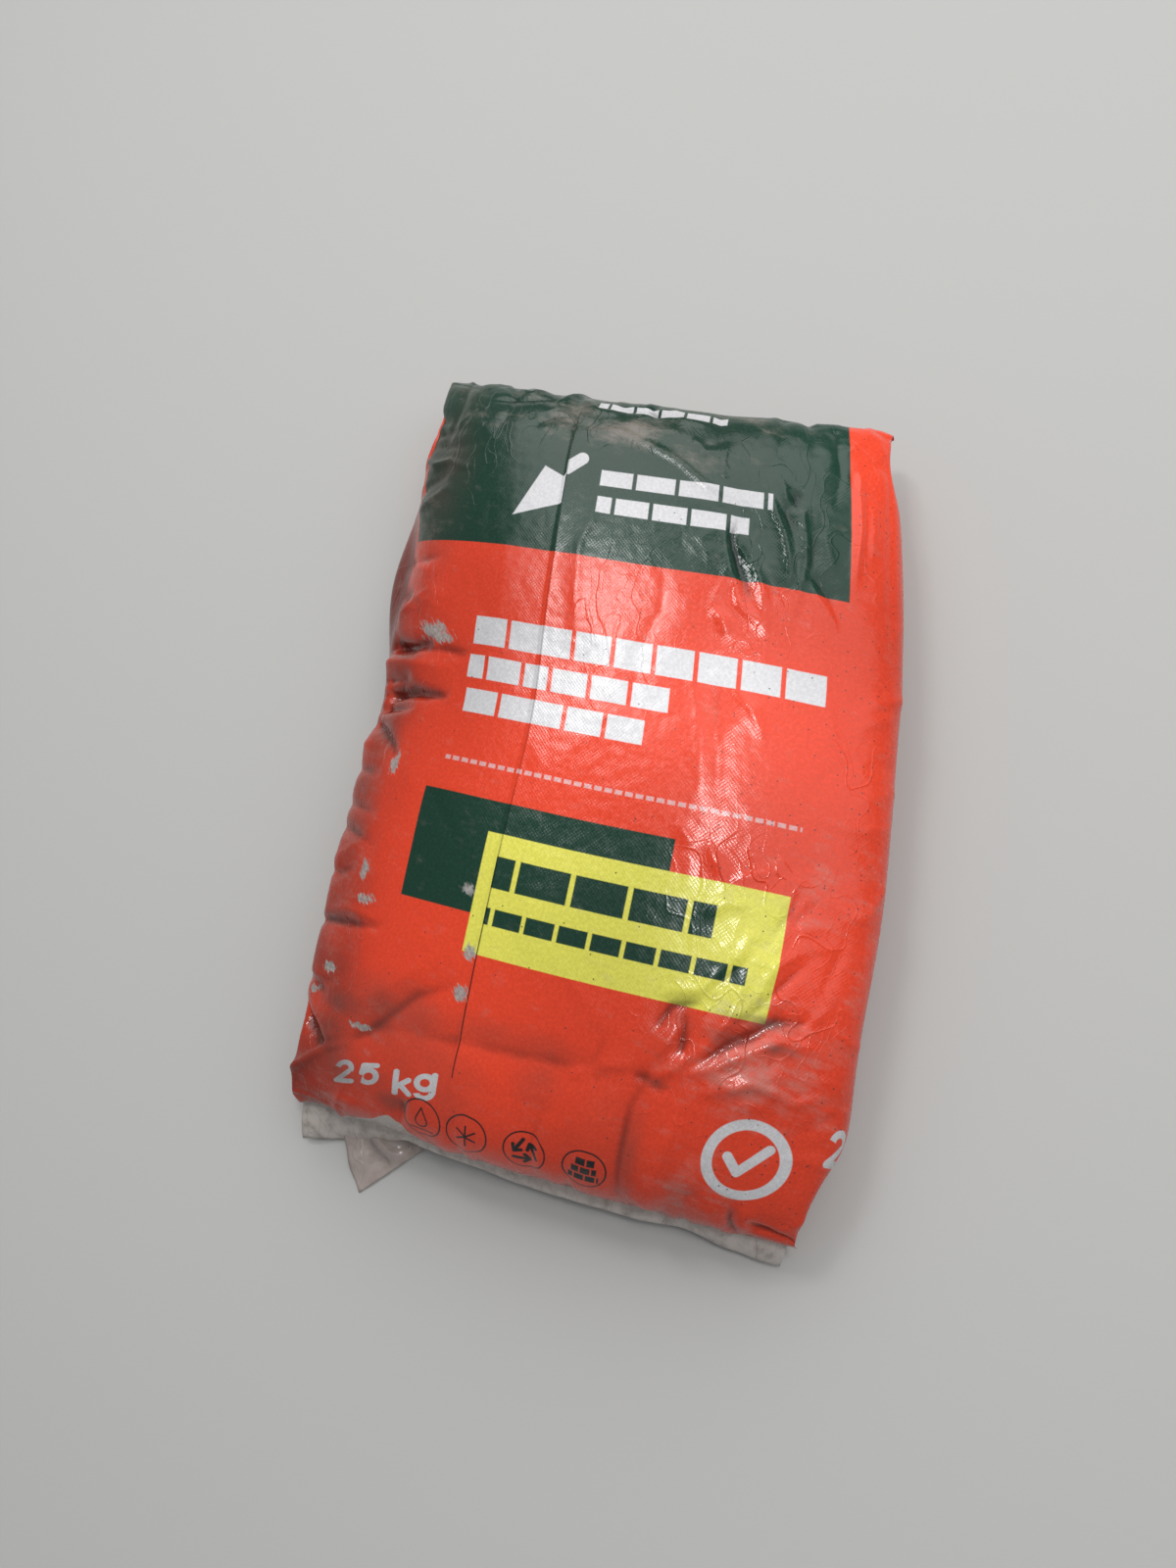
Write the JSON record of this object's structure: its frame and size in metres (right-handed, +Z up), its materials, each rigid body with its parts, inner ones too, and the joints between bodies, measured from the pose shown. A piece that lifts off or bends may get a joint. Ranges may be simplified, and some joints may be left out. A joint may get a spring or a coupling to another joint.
{
  "type": "cement sack",
  "caption": "Filled side-gusseted plastic film sack of cement, lying flat on its back panel, with heat-sealed ends and loose tails of film beyond the seals.",
  "frame": {"origin": "middle of the bounding box on the floor, under the back panel", "axes": "+Y along the sack from the foot end, where the unprinted tail lies, to the header end; +Z up, out of the front panel; +X across the front panel to its right"},
  "size_m": [0.3984, 0.6362, 0.114],
  "materials": {
    "film": "orange-red printed glossy polyethylene film, dusty and wrinkled"
  },
  "bodies": {
    "root": {"sack": "film"}
  },
  "joints": []
}
